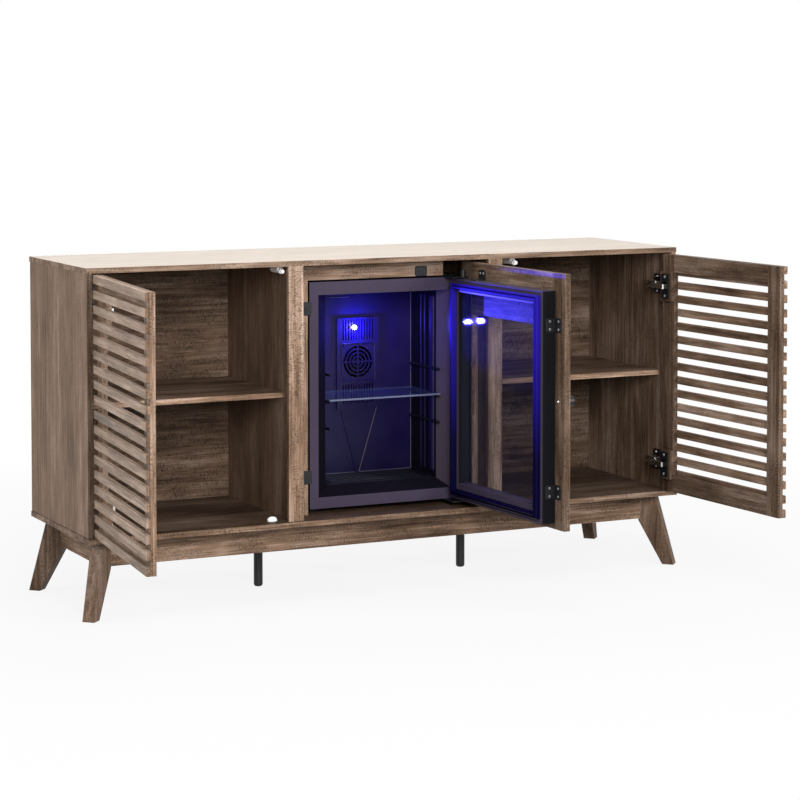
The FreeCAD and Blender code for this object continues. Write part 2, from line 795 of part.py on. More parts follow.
def heat_sink(name, base_y, fins_y, label):
    """A finned plate; the fins stand on the plate and run up and down."""
    half = d.sink_width / 2
    tall = (fan_level - half, fan_level + half)
    pieces = [box(f"{name}_base", centred(half), base_y, tall)]
    pitch = (d.sink_width - d.sink_fin) / (d.sink_fins - 1)
    for number in range(count(d.sink_fins)):
        low = fridge_middle - half + pitch * number
        pieces.append(box(f"{name}_fin{number}", (low, low + d.sink_fin), fins_y, tall))
    keep(fuse(name, *pieces), label)


def rotor_shape():
    """A fan wheel about the Y axis: a hub with pitched blades and a bore for the motor's shaft."""
    depth = d.rotor_depth.number
    hub_radius = d.rotor_hub.number
    along = FreeCAD.Vector(0, 1, 0)
    origin = FreeCAD.Vector(0, 0, 0)
    hub = Part.makeCylinder(hub_radius, depth, origin, along)
    thin = d.blade.number
    reach = d.rotor_radius.number - hub_radius / 2
    blades = []
    for number in range(count(d.rotor_blades)):
        blade = Part.makeBox(reach, thin, depth, FreeCAD.Vector(hub_radius / 2, -thin / 2, -depth / 2))
        pitch = FreeCAD.Rotation(FreeCAD.Vector(1, 0, 0), 40)
        around = FreeCAD.Rotation(along, 360 * number / count(d.rotor_blades))
        blade.Placement = FreeCAD.Placement(FreeCAD.Vector(0, depth / 2, 0), around * pitch)
        blades.append(blade)
    wheel = hub.multiFuse(blades)
    disc = Part.makeCylinder(d.rotor_radius.number, depth, origin, along)
    bore = Part.makeCylinder(d.motor_shaft.number + d.running_gap.number, depth, origin, along)
    return wheel.common(disc).cut(bore).removeSplitter()


def cooling():
    """Cold sink and fan behind the cover, cooling chip through the back wall, hot sink and grille behind."""
    cold_base = (recess_back - d.sink_base, recess_back)
    cold_fins = (cold_base[0] - d.cold_fin_height, cold_base[0])
    heat_sink("cold", cold_base, cold_fins, "cold_sink")
    half_chip = d.chip_width / 2
    chip_z = (fan_level - half_chip, fan_level + half_chip)
    keep(box("chip", centred(half_chip), (recess_back, well_front), chip_z), "cooling_chip")
    hot_base = (well_front, well_front + d.sink_base)
    heat_sink("hot", hot_base, (hot_base[1], hot_base[1] + d.hot_fin_height), "hot_sink")
    rotor_front = cavity_back + d.rotor_setback
    motor_front = rotor_front + d.rotor_depth + d.motor_gap
    motor = cylinder("motor_body", d.motor_radius, cold_fins[0] - motor_front, fridge_middle, motor_front,
                     fan_level, ALONG_Y)
    shaft = cylinder("motor_shaft", d.motor_shaft, motor_front - rotor_front + 1, fridge_middle,
                     rotor_front, fan_level, ALONG_Y)
    keep(fuse("motor", motor, shaft), "fan_motor")
    rotor = solid("rotor", rotor_shape())
    keep(place(rotor, fridge_middle, rotor_front, fan_level), "fan_rotor")
    half = d.well_width / 2 + d.grille_margin
    plate = box("grille_plate", centred(half), (fridge_back, fridge_back + d.grille),
                (fan_level - half, fan_level + half))
    pitch = d.well_width / d.grille_holes
    holes = []
    for column in range(count(d.grille_holes)):
        for row in range(count(d.grille_holes)):
            x = fridge_middle + pitch * (column + 0.5) - d.well_width / 2
            z = fan_level + pitch * (row + 0.5) - d.well_width / 2
            holes.append(cylinder(f"vent{column}_{row}", d.grille_hole_radius, d.grille + 2, x,
                                  fridge_back - 1, z, ALONG_Y))
    keep(cut("grille", plate, group("grille_holes", holes)), "rear_grille")


def fridge_shelf():
    """Glass shelf on moulded ledges of the liner's side walls."""
    half = liner_half - d.liner
    level = liner_low + d.shelf_glass_level
    y = (shell_front - d.shelf_glass_reach, cover_front - d.shelf_glass_gap)
    pane_x = centred(half - d.shelf_glass_gap)
    keep(box("shelf_pane", pane_x, y, (level, level + d.shelf_glass)), "glass_shelf")
    ledges = []
    for word, start in (("left", fridge_middle - half), ("right", fridge_middle + half - d.ledge)):
        for number in (-1, 0, 1):
            top = level + d.ledge_step * number
            ledges.append(box(f"ledge_{word}{number + 1}", (start, start + d.ledge), y,
                              (top - d.ledge_height, top)))
    keep(group("ledges", ledges), "shelf_ledges")


def hinge_plate_shape(thickness, pin_up):
    """A flat hinge plate round the pin and back under or over the fridge, with the pin on it."""
    end = d.hinge_plate_end.number
    left = -d.hinge_plate_width.number
    rear = d.hinge_plate_back.number
    slab = Part.makeBox(end - left, rear, thickness, FreeCAD.Vector(left, 0, 0))
    nose = Part.makeCylinder(end, thickness)
    filler = Part.makeBox(-left, end, thickness, FreeCAD.Vector(left, -end, 0))
    length = d.hinge_bore_depth.number
    pin_low = thickness if pin_up else -length
    pin = Part.makeCylinder(d.hinge_pin_radius.number, length, FreeCAD.Vector(0, 0, pin_low))
    solids = [nose, filler, pin]
    if not pin_up:
        solids.append(Part.makeCylinder(d.hinge_head_radius.number, d.hinge_head.number,
                                        FreeCAD.Vector(-d.hinge_head_offset.number, 0, thickness)))
    return slab.multiFuse(solids).removeSplitter()


def fridge_hinges():
    thickness = d.hinge_plate.number
    top_plate = solid("hinge_top", hinge_plate_shape(thickness, False))
    place(top_plate, hinge_x, hinge_y, fridge_top)
    low_plate = solid("hinge_low", hinge_plate_shape(thickness, True))
    place(low_plate, hinge_x, hinge_y, fridge_bottom - d.hinge_plate)
    keep(group("hinges", [top_plate, low_plate]), "fridge_hinges")


hinge_x = stile_in - d.hinge_side_gap
hinge_y = front + d.hinge_setback
frame_left = d.front_frame_free_gap - stile_in
frame_right = stile_in - d.front_frame_hinge_gap
glass_left = fridge_left
glass_right = fridge_right - d.glass_door_hinge_gap
glass_low = fridge_bottom + d.glass_door_bottom_gap
glass_high = fridge_top - d.glass_door_top_gap
wood_high = bay_top - d.front_frame_top_gap
wood_inner = front + d.front_frame_thickness
glass_inner = wood_inner + d.glass_door_depth


def from_axis(values, axis):
    """Values in the shut position, measured from the hinge axis."""
    return tuple(as_size(value) - axis for value in values)


def centre_door():
    """Wooden frame, glass door and their fixings, drawn shut about the fridge's hinge axis and swung open."""
    pivot = (hinge_x, hinge_y, d.centre_door_angle)

    def local_x(*values):
        return from_axis(values, hinge_x)

    def local_y(*values):
        return from_axis(values, hinge_y)

    wood_y = local_y(front, wood_inner)
    tall = (door_bottom, wood_high)
    inner_left = frame_left + d.front_frame_stile
    inner_right = frame_right - d.front_frame_stile
    rail_x = local_x(inner_left, inner_right)
    wood = [
        box("wood_free_stile", local_x(frame_left, inner_left), wood_y, tall),
        box("wood_hinge_stile", local_x(inner_right, frame_right), wood_y, tall),
        box("wood_rail", rail_x, wood_y, (wood_high - d.front_frame_rail, wood_high)),
        box("wood_sill", rail_x, wood_y, (door_bottom, door_bottom + d.front_frame_sill)),
    ]
    keep(swing(group("wood", wood), *pivot), "centre_door_frame")

    outer_x = local_x(glass_left, glass_right)
    outer_z = (glass_low, glass_high)
    pane_x = local_x(glass_left + d.glass_door_stile, glass_right - d.glass_door_stile)
    pane_z = (glass_low + d.glass_door_sill, glass_high - d.glass_door_head)
    sash = ring("sash", outer_x, outer_z, pane_x, pane_z, local_y(wood_inner, glass_inner))
    bores = []
    for number, low in enumerate((glass_low - 1, glass_high - d.hinge_bore_depth)):
        bores.append(cylinder(f"hinge_bore{number}", d.hinge_pin_radius + d.running_gap,
                              d.hinge_bore_depth + 1, 0, 0, low))
    keep(swing(cut("bored_sash", sash, *bores), *pivot), "glass_door_frame")
    panes = []
    for number in range(2):
        start = wood_inner + d.pane_inset + (d.pane + d.pane_gap) * number
        panes.append(box(f"pane{number}", pane_x, local_y(start, start + d.pane), pane_z))
    keep(swing(group("panes", panes), *pivot), "glass_door_panes")
    inset = d.gasket_inset
    seal_x = (glass_left + inset, glass_right - d.gasket_hinge_inset)
    seal_z = (glass_low + inset, glass_high - inset)
    width = d.gasket_width
    seal = ring("seal", local_x(*seal_x), seal_z, local_x(seal_x[0] + width, seal_x[1] - width),
                (seal_z[0] + width, seal_z[1] - width), local_y(glass_inner, fridge_front - d.gasket_gap))
    relief = box("seal_relief", (d.gasket_relief_start, glass_right),
                 local_y(fridge_front - d.gasket_relief, fridge_front), (glass_low, glass_high))
    keep(swing(cut("relieved_seal", seal, relief), *pivot), "door_gasket")

    fixings = []
    for number, level in enumerate((glass_low + d.butterfly_low, glass_high - d.butterfly_high)):
        z = (level - d.butterfly_height / 2, level + d.butterfly_height / 2)
        edge = glass_left
        on_glass = box(f"leaf_glass{number}", local_x(edge - d.butterfly, edge),
                       local_y(wood_inner, wood_inner + d.butterfly_leaf), z)
        on_wood = box(f"leaf_wood{number}", local_x(edge - d.butterfly_wood_leaf, edge),
                      local_y(wood_inner, wood_inner + d.butterfly), z)
        fixings.append(fuse(f"butterfly{number}", on_glass, on_wood))
    tab_x = local_x(d.tab_left, d.tab_left + d.tab_width)
    upright = box("tab_upright", tab_x, local_y(wood_inner, wood_inner + d.butterfly),
                  (glass_high, glass_high + d.butterfly_leaf))
    level_leaf = box("tab_level", tab_x, local_y(wood_inner, wood_inner + d.butterfly_leaf),
                     (glass_high, glass_high + d.butterfly))
    fixings.append(fuse("tab", upright, level_leaf))
    keep(swing(group("fixings", fixings), *pivot), "door_brackets")

    knob_x = local_x(frame_left + d.knob_inset)[0]
    knob_z = door_bottom + d.knob_level
    stem_start = local_y(front - d.knob_stem)[0]
    stem = cylinder("knob_stem", d.knob_stem_radius, d.knob_stem, knob_x, stem_start, knob_z, ALONG_Y)
    head_start = front - d.knob_stem - d.knob_head
    head = cylinder("knob_head", d.knob_radius, d.knob_head, knob_x, local_y(head_start)[0], knob_z, ALONG_Y)
    keep(swing(fuse("knob", stem, head), *pivot), "door_knob")


def check_model():
    """Stops before anything is written if a feature failed or a sub-part has no valid solid."""
    for item in doc.Objects:
        if "Invalid" in item.State or "Error" in item.State:
            raise RuntimeError(f"{item.Name} did not build: {item.State}")
    for node in nodes:
        if node.Shape.isNull() or not node.Shape.isValid() or not node.Shape.Solids:
            raise RuntimeError(f"{node.Label} has no valid solid")


carcass()
shelf_pins()
plinth()
louvred_door("left", -1, d.left_door_angle)
louvred_door("right", 1, d.right_door_angle)
hinge_arms()
hinge_links("left", -1, d.left_door_angle)
hinge_links("right", 1, d.right_door_angle)
latches()
fridge_trim()
fridge_case()
fan_cover()
cooling()
fridge_shelf()
fridge_hinges()
centre_door()
doc.recompute()
check_model()
os.makedirs("parts", exist_ok=True)
for node in nodes:
    node.Shape.exportStep(f"parts/{node.Label}.step")
print(len(nodes), "nodes")
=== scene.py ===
"""Looks of the sideboard: materials, small fixings, lights and the photographed view. Metres."""
import json
import math

import bmesh
import bpy
from mathutils import Matrix, Vector


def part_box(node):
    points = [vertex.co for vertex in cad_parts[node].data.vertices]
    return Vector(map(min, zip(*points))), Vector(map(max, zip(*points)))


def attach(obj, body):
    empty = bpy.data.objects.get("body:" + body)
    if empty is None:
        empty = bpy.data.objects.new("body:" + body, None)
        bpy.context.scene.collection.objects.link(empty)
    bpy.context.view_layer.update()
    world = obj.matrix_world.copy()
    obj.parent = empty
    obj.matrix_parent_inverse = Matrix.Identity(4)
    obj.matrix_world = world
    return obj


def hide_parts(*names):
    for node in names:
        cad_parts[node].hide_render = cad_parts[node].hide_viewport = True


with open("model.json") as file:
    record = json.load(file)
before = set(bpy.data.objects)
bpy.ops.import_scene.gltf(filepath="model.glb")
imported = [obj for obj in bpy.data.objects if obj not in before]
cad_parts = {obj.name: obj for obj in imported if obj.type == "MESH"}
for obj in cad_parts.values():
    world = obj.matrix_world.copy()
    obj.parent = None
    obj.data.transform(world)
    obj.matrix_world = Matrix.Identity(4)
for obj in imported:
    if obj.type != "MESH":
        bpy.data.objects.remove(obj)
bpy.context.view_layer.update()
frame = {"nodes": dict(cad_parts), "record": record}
nodes = frame["nodes"]
joints = {joint["name"]: joint for joint in frame["record"]["behaviour"]["joints"]}
scene = bpy.context.scene

SLATS = 18
SLAT_HEIGHT = 0.018
DOOR_STILE = 0.045
CENTRE_STILE = 0.052

# Linear colours
WOOD_DARK = (0.052, 0.029, 0.018, 1)
WOOD_MID = (0.185, 0.117, 0.077, 1)
WOOD_PALE = (0.375, 0.270, 0.208, 1)
# A paler wood colour that is mixed in as painted light where strong light falls
WOOD_PAINTED_LIGHT = (0.55, 0.49, 0.425, 1)
LED_BLUE = (0.06, 0.05, 1.0)

# Where the painted light of the fridge's blue lamp fades on the liner and the seal: a low and a high place,
# and the share of the colour left at the low one
LINER_FALL = (0.25, 0.60, 0.40)
SEAL_FALL = (0.34, 0.64, 0.07)

# Turns in degrees about X, Y and Z that bring a board's grain onto X
ALONG_X = (0, 0, 0)
UPRIGHT = (0, 90, 0)
ALONG_Y = (0, 0, -90)

# Directions that a fitting faces
UP = (0, 0, 1)
FRONT = (0, -1, 0)
BACK = (0, 1, 0)

# Sheet metal and plastic walls
SHEET = 0.002
LINER_WALL = 0.003

# Radii of screw heads
ANGLE_SCREW = 0.0032
BACK_SCREW = 0.0030
BAY_SCREW = 0.0030
CUP_SCREW = 0.0038
FAN_SCREW = 0.0022
KNOB_SCREW = 0.0042
PLATE_SCREW = 0.0036

# Light of the room, and the share of white on the floor beside the object and far from it
ROOM_LIGHT = 0.19
FLOOR_WHITE = 0.88
FLOOR_NEAR = 0.8
FLOOR_FAR = 2.2

# Area lamps: place, target, size and power
STUDIO_LAMPS = {
    "key": ((-1.2, -4.4, 1.9), (0, 0, 0.45), 1.6, 245),
    "right": ((3.0, -3.6, 1.7), (-0.3, 0, 0.35), 1.0, 125),
    "left": ((-3.6, 0.1, 1.4), (-0.75, -0.3, 0.45), 1.2, 62),
    "top": ((0, -0.2, 3.2), (0, 0, 0.7), 2.4, 82),
}

# The fridge's lamp: a glow all round and a beam onto the seal of the open door
LED_AHEAD = 0.012
LED_SIZE = 0.006
GLOW_POWER = 1.6
BEAM_POWER = 62
BEAM_ANGLE = 37
BEAM_BLEND = 0.6
BEAM_TARGET = Vector((0.195, -0.33, 0.62))

# Camera fitted to the photograph: millimetres, shares of the picture, metres and degrees
SENSOR = 36
FOCAL_LENGTH = 114.38
SHIFT_X = -0.0144
SHIFT_Y = -0.2404
CAMERA_PLACE = (-2.53266, -5.43373, 1.20314)
CAMERA_DIP = 3.105
CAMERA_TURN = -26.136


class Leaf:
    """A door's own frame: places are given with the door shut and turned open about its hinge axis."""

    def __init__(self, joint_name):
        joint = joints[joint_name]
        axis = Matrix.Translation(joint["pos_m"])
        angle = -math.radians(joint["range_deg"][0]) * joint["axis"][2]
        self.angle = math.degrees(angle)
        self.open = axis @ Matrix.Rotation(angle, 4, "Z") @ axis.inverted()
        self.shut = self.open.inverted()
        self.body = joint["child"]


class Fixed:
    """What stands still has the same places shut and open."""

    open = Matrix.Identity(4)
    shut = Matrix.Identity(4)
    body = "cabinet"


fixed = Fixed()
left_leaf = Leaf("left_door_swing")
right_leaf = Leaf("right_door_swing")
centre_leaf = Leaf("centre_door_swing")


def solids(node, leaf=fixed):
    """(lowest corner, highest corner) of each solid of a CAD node, with its door shut, lowest first."""
    shape = bmesh.new()
    shape.from_mesh(nodes[node].data)
    bmesh.ops.transform(shape, matrix=leaf.shut, verts=shape.verts)
    bmesh.ops.remove_doubles(shape, verts=shape.verts, dist=1e-6)
    waiting = set(shape.verts)
    found = []
    while waiting:
        group = [waiting.pop()]
        for vertex in group:
            for edge in vertex.link_edges:
                other = edge.other_vert(vertex)
                if other in waiting:
                    waiting.remove(other)
                    group.append(other)
        corners = list(zip(*(vertex.co for vertex in group)))
        found.append((Vector(map(min, corners)), Vector(map(max, corners))))
    shape.free()
    return sorted(found, key=lambda ends: (round(ends[0].z, 4), ends[0].x))


def reach(node, leaf=fixed):
    """Lowest and highest corner of a whole CAD node, with its door shut."""
    lows, highs = zip(*solids(node, leaf))
    return Vector(map(min, zip(*lows))), Vector(map(max, zip(*highs)))


class Shader:
    """A node material under construction, with short calls for the nodes that the materials share."""

    def __init__(self, name):
        self.material = bpy.data.materials.new(name)
        self.material.use_nodes = True
        self.tree = self.material.node_tree
        self.surface = self.tree.nodes["Principled BSDF"]
        self.output = self.tree.nodes["Material Output"]

    def node(self, kind, **inputs):
        made = self.tree.nodes.new(kind)
        for name, value in inputs.items():
            self.feed(made.inputs[name.replace("_", " ")], value)
        return made

    def feed(self, socket, value):
        if isinstance(value, bpy.types.NodeSocket):
            self.tree.links.new(value, socket)
        else:
            socket.default_value = value

    def set(self, **inputs):
        for name, value in inputs.items():
            self.feed(self.surface.inputs[name.replace("_", " ")], value)

    def math(self, operation, first, second=0.0):
        made = self.tree.nodes.new("ShaderNodeMath")
        made.operation = operation
        self.feed(made.inputs[0], first)
        self.feed(made.inputs[1], second)
        return made.outputs[0]

    def mix(self, factor, first, second, blend="MIX"):
        made = self.tree.nodes.new("ShaderNodeMix")
        made.data_type = "RGBA"
        made.blend_type = blend
        self.feed(made.inputs["Factor"], factor)
        self.feed(made.inputs[6], first)
        self.feed(made.inputs[7], second)
        return made.outputs[2]

    def span(self, value, low, high, to_low=0.0, to_high=1.0):
        made = self.node("ShaderNodeMapRange", Value=value)
        made.inputs["From Min"].default_value = low
        made.inputs["From Max"].default_value = high
        made.inputs["To Min"].default_value = to_low
        made.inputs["To Max"].default_value = to_high
        return made.outputs[0]

    def ramp(self, value, *stops):
        made = self.node("ShaderNodeValToRGB", Fac=value)
        elements = made.color_ramp.elements
        while len(elements) < len(stops):
            elements.new(0.5)
        for element, (position, color) in zip(elements, stops):
            element.position = position
            element.color = color
        return made.outputs["Color"]

    def noise(self, vector, scale, detail=2.0, roughness=0.5, distortion=0.0):
        made = self.node("ShaderNodeTexNoise", Vector=vector, Scale=scale, Detail=detail)
        made.inputs["Roughness"].default_value = roughness
        made.inputs["Distortion"].default_value = distortion
        return made.outputs["Fac"]

    def stretched(self, vector, scale):
        return self.node("ShaderNodeMapping", Vector=vector, Scale=scale).outputs["Vector"]

    def place(self):
        return self.node("ShaderNodeTexCoord").outputs["Object"]

    def bump(self, height, distance, strength=1.0):
        made = self.node("ShaderNodeBump", Height=height, Distance=distance, Strength=strength)
        return made.outputs["Normal"]

    def vector(self, operation, first, second):
        made = self.tree.nodes.new("ShaderNodeVectorMath")
        made.operation = operation
        self.feed(made.inputs[0], first)
        self.feed(made.inputs[1], second)
        return made.outputs["Vector"]

    def scaled(self, color, value):
        made = self.tree.nodes.new("ShaderNodeVectorMath")
        made.operation = "SCALE"
        self.feed(made.inputs[0], color)
        self.feed(made.inputs["Scale"], value)
        return made.outputs["Vector"]


def wood(name, turn, tone=1.0, hatch=1.0, slats=None, sheen=0.45, painted_light=0.0, figure=1.0):
    """Oak-look laminate with saw marks across the grain, which turn brings onto X.

    tone scales the colour, hatch the saw marks and figure the contrast; a share of a paler colour can be
    mixed in, painted light on strongly lit faces.
    Each board differs: by its node, or by its slat where slats gives the lowest one's height and the pitch.
    """
    shade = Shader(name)
    chance = shade.node("ShaderNodeObjectInfo").outputs["Random"]
    if slats:
        height = shade.node("ShaderNodeSeparateXYZ", Vector=shade.place()).outputs["Z"]
        lowest, pitch = slats
        number = shade.math("FLOOR", shade.math("DIVIDE", shade.math("SUBTRACT", height, lowest), pitch))
        cell = shade.node("ShaderNodeTexWhiteNoise")
        cell.noise_dimensions = "1D"
        shade.feed(cell.inputs["W"], number)
        chance = cell.outputs["Value"]
    turned = shade.node("ShaderNodeMapping", Vector=shade.place())
    turned.inputs["Rotation"].default_value = [math.radians(angle) for angle in turn]
    shift = shade.math("MULTIPLY", chance, 9.0)
    offset = shade.node("ShaderNodeCombineXYZ", X=shift, Y=shift, Z=shift).outputs["Vector"]
    board = shade.vector("ADD", turned.outputs["Vector"], offset)

    bands = shade.noise(shade.stretched(board, (1.3, 15, 15)), 1.0, 3.0, 0.6, 0.8)
    streaks = shade.noise(shade.stretched(board, (4, 95, 95)), 1.0, 3.0, 0.65, 0.4)
    fibres = shade.noise(shade.stretched(board, (16, 560, 560)), 1.0, 2.0, 0.6)
    saw = shade.noise(shade.stretched(board, (400, 150, 150)), 1.0, 3.0, 0.6)
    saw_patch = shade.noise(shade.stretched(board, (12, 34, 34)), 1.0, 2.0, 0.5)
    mottle = shade.noise(shade.stretched(board, (6, 11, 11)), 1.0, 4.0, 0.6)

    level = shade.math("ADD", shade.math("MULTIPLY", bands, 0.5), shade.math("MULTIPLY", streaks, 0.5))
    level = shade.math("ADD", level, shade.math("MULTIPLY", shade.math("SUBTRACT", mottle, 0.5), 0.4))
    level = shade.span(level, 0.0, 1.0, 0.5 - 0.5 * figure, 0.5 + 0.5 * figure)
    color = shade.ramp(level, (0.32, WOOD_DARK), (0.50, WOOD_MID), (0.68, WOOD_PALE))
    color = shade.mix(painted_light, color, WOOD_PAINTED_LIGHT)
    depth = 1.0 - painted_light
    fibre_tone = shade.span(fibres, 0.28, 0.72, 1.0 - 0.42 * depth, 1.0 + 0.30 * depth)
    saw_mark = shade.math("MULTIPLY", shade.span(saw, 0.46, 0.64), shade.span(saw_patch, 0.34, 0.56))
    saw_tone = shade.span(saw_mark, 0.0, 1.0, 1.06, 1.0 - 0.58 * hatch)
    board_tone = shade.span(chance, 0.0, 1.0, 0.92 * tone, 1.08 * tone)
    value = shade.math("MULTIPLY", shade.math("MULTIPLY", fibre_tone, saw_tone), board_tone)
    relief = shade.math("SUBTRACT", shade.math("MULTIPLY", fibres, 0.6), saw_mark)
    shade.set(Base_Color=shade.scaled(color, value),
              Roughness=shade.span(fibres, 0.2, 0.8, sheen + 0.1, sheen - 0.06),
              Specular_IOR_Level=0.06, Normal=shade.bump(relief, 0.0004, 0.45))
    return shade.material


def smooth_solid(name, color, roughness, metallic=0.0, grain=900.0, relief=0.00005, uneven=0.12,
                 coat=0.0, sheen=0.5, fall=None):
    """Plated, painted or moulded stuff with a fine surface grain and slightly uneven shine.

    fall gives a low and a high place and the share of the colour that is left at the low one, for painted
    light that fades downward.
    """
    shade = Shader(name)
    place = shade.place()
    cloud = shade.noise(place, 14.0, 4.0, 0.6)
    fine = shade.noise(place, grain, 2.0, 0.6)
    dark = tuple(part * (1 - uneven) for part in color[:3]) + (1,)
    pale = tuple(min(1.0, part * (1 + uneven)) for part in color[:3]) + (1,)
    tint = shade.mix(cloud, dark, pale)
    if fall:
        low, high, share = fall
        height = shade.node("ShaderNodeSeparateXYZ", Vector=place).outputs["Z"]
        tint = shade.scaled(tint, shade.span(height, low, high, share, 1.0))
    shade.set(Base_Color=tint, Metallic=metallic,
              Roughness=shade.span(cloud, 0.25, 0.75, roughness * 0.85, roughness * 1.2),
              Normal=shade.bump(fine, relief, 0.6), Coat_Weight=coat, Coat_Roughness=0.15,
              Specular_IOR_Level=sheen)
    return shade.material


def clear_glass(name, tint, body):
    """A thin clear pane: mostly see-through, with a sharp reflection and faint smears."""
    shade = Shader(name)
    smear = shade.noise(shade.stretched(shade.place(), (6, 6, 2)), 1.0, 4.0, 0.6)
    shade.set(Base_Color=tint, Roughness=shade.span(smear, 0.35, 0.75, 0.01, 0.05),
              Specular_IOR_Level=0.8, IOR=1.5)
    through = shade.node("ShaderNodeBsdfTransparent", Color=(0.95, 0.96, 0.98, 1))
    blended = shade.node("ShaderNodeMixShader", Fac=shade.span(smear, 0.3, 0.8, body, body * 1.25))
    shade.feed(blended.inputs[1], through.outputs[0])
    shade.feed(blended.inputs[2], shade.surface.outputs[0])
    shade.feed(shade.output.inputs["Surface"], blended.outputs[0])
    return shade.material


def lamp(name, color, strength):
    """A lit lens, brightest in its middle cells."""
    shade = Shader(name)
    cells = shade.noise(shade.place(), 260.0, 2.0, 0.5)
    shade.set(Base_Color=(*color, 1), Emission_Color=shade.mix(cells, (*color, 1), (0.45, 0.7, 1.0, 1)),
              Emission_Strength=shade.span(cells, 0.2, 0.8, strength * 0.7, strength * 1.3), Roughness=0.2)
    return shade.material


def slat_rows(node):
    """Height of the lowest slat and the pitch from slat to slat."""
    low, high = reach(node)
    return low.z, (high.z - low.z - SLAT_HEIGHT) / (SLATS - 1)


# Boards: a lower tone is painted shade, on boards that lie in shade; a paler mix is painted light, on the
# worktop's top face and the left door's slats
wood_x = wood("wood_along_x", ALONG_X, 0.86)
# The legs' low tone is painted shade
wood_legs = wood("wood_legs", UPRIGHT, 0.56, 0.8)
wood_z = wood("wood_upright", UPRIGHT)
wood_y = wood("wood_along_y", ALONG_Y)
wood_side = wood("wood_sides", UPRIGHT, 0.86, 0.45, figure=0.55)
# The inner faces of the side panels carry painted shade
wood_side_inside = wood("wood_sides_inside", UPRIGHT, 0.62, 0.6)
# The worktop's top face is mixed toward a pale colour: painted light from above
wood_top = wood("wood_worktop", ALONG_X, 1.05, 0.15, sheen=0.36, painted_light=0.78)
# Painted shade inside the bays: the shelves, the back boards, the right back board darker still, and the bay
# floors darkest
wood_inside = wood("wood_inside", ALONG_X, 0.62, 0.6)
wood_back = wood("wood_back_board", ALONG_X, 0.58, 1.1)
wood_back_shade = wood("wood_back_shade", ALONG_X, 0.5, 1.1)
wood_floor = wood("wood_bay_floor", ALONG_X, 0.38, 0.6)
# The shelves' front edges are paler than the shelves: painted light
wood_edges = wood("wood_shelf_edges", ALONG_X, 1.25, 0.4)
wood_shade = wood("wood_shaded_edge", UPRIGHT, 0.4)
wood_left_stiles = wood("wood_left_stiles", UPRIGHT)
# Painted shade: the right and centre doors' frames and the right door's slats are darker than the left
# door's, so the doors differ when shut
wood_right_stiles = wood("wood_right_stiles", UPRIGHT, 0.52)
wood_centre_stiles = wood("wood_centre_stiles", UPRIGHT, 0.5)
wood_left_rails = wood("wood_left_rails", (0, 0, -left_leaf.angle), 0.95)
wood_right_rails = wood("wood_right_rails", (0, 0, -right_leaf.angle), 0.52)
wood_centre_rails = wood("wood_centre_rails", (0, 0, -centre_leaf.angle), 0.5)
# Painted light: the left door's slats are paler, with a share of the pale colour mixed in
wood_left_slats = wood("wood_left_slats", (0, 0, -left_leaf.angle), 1.05, 0.3,
                       slat_rows("left_door_slats"), painted_light=0.16)
wood_right_slats = wood("wood_right_slats", (0, 0, -right_leaf.angle), 0.75, 0.4,
                        slat_rows("right_door_slats"))

# Metal, plastic, rubber and glass
black_paint = smooth_solid("black_paint", (0.005, 0.005, 0.006), 0.40, sheen=0.3)
bright_steel = smooth_solid("bright_steel", (0.66, 0.65, 0.63), 0.22, 1.0, 500.0, 0.00003, 0.08)
nickel = smooth_solid("nickel_plate", (0.55, 0.53, 0.50), 0.28, 1.0, 500.0, 0.00003, 0.08)
white_plastic = smooth_solid("white_plastic", (0.78, 0.76, 0.74), 0.34, 0.0, 700.0, 0.00004, 0.05, 0.3)
# Dark plastic whose violet tint is painted light of the fridge's blue lamp
fridge_skin = smooth_solid("fridge_skin", (0.037, 0.028, 0.048), 0.45, 0.0, 1400.0, 0.00004, 0.12,
                           sheen=0.14)
fridge_steel = smooth_solid("fridge_side_steel", (0.012, 0.012, 0.014), 0.34, 0.0, 900.0, 0.00003, 0.1)
# Dark liner written blue: painted light of the fridge's blue lamp, fading downward
liner_skin = smooth_solid("liner_skin", (0.008, 0.004, 0.050), 0.34, 0.0, 1100.0, 0.00005, 0.15, sheen=0.25,
                          fall=LINER_FALL)
tray_skin = smooth_solid("tray_skin", (0.003, 0.003, 0.006), 0.45, 0.0, 1100.0, 0.00005, 0.15, sheen=0.15)
# Near-black copy of the fridge plastic: painted shade in the frame's mouth and on the liner's right wall and
# floor
mouth_skin = smooth_solid("fridge_mouth", (0.005, 0.004, 0.007), 0.85, 0.0, 1100.0, 0.00005, 0.15,
                          sheen=0.03)
door_black = smooth_solid("door_side_black", (0.003, 0.003, 0.004), 0.60, 0.0, 900.0, 0.00003, 0.1,
                          sheen=0.08)
edge_line = smooth_solid("liner_edge", (0.06, 0.055, 0.06), 0.35, 0.0, 900.0, 0.00003, 0.1)
# Paler grey-violet copy of the fridge plastic: painted light on the mouth's right bevel
bevel_skin = smooth_solid("fridge_bevel", (0.075, 0.056, 0.072), 0.65, 0.0, 1400.0, 0.00004, 0.1, sheen=0.1)
grey_bolt = smooth_solid("grey_bolt", (0.16, 0.16, 0.17), 0.40, 0.6, 700.0, 0.00004, 0.1)
rubber = smooth_solid("rubber_foot", (0.020, 0.020, 0.024), 0.62, 0.0, 800.0, 0.00006, 0.1)
# Dark rubber written blue: painted light of the fridge's blue lamp, fading downward
seal_skin = smooth_solid("rubber_seal", (0.013, 0.006, 0.215), 0.45, 0.0, 800.0, 0.00004, 0.1, sheen=0.04,
                         fall=SEAL_FALL)
aluminium = smooth_solid("aluminium_sink", (0.60, 0.60, 0.62), 0.38, 1.0, 600.0, 0.00004, 0.06)
door_glass = clear_glass("door_glass", (0.02, 0.02, 0.05, 1), 0.07)
shelf_glass = clear_glass("shelf_glass", (0.15, 0.2, 0.3, 1), 0.10)
glass_edge = smooth_solid("glass_edge", (0.09, 0.10, 0.17), 0.2, 0.0, 400.0, 0.00002, 0.1, 0.2)
led_lens = lamp("led_lens", LED_BLUE, 30.0)

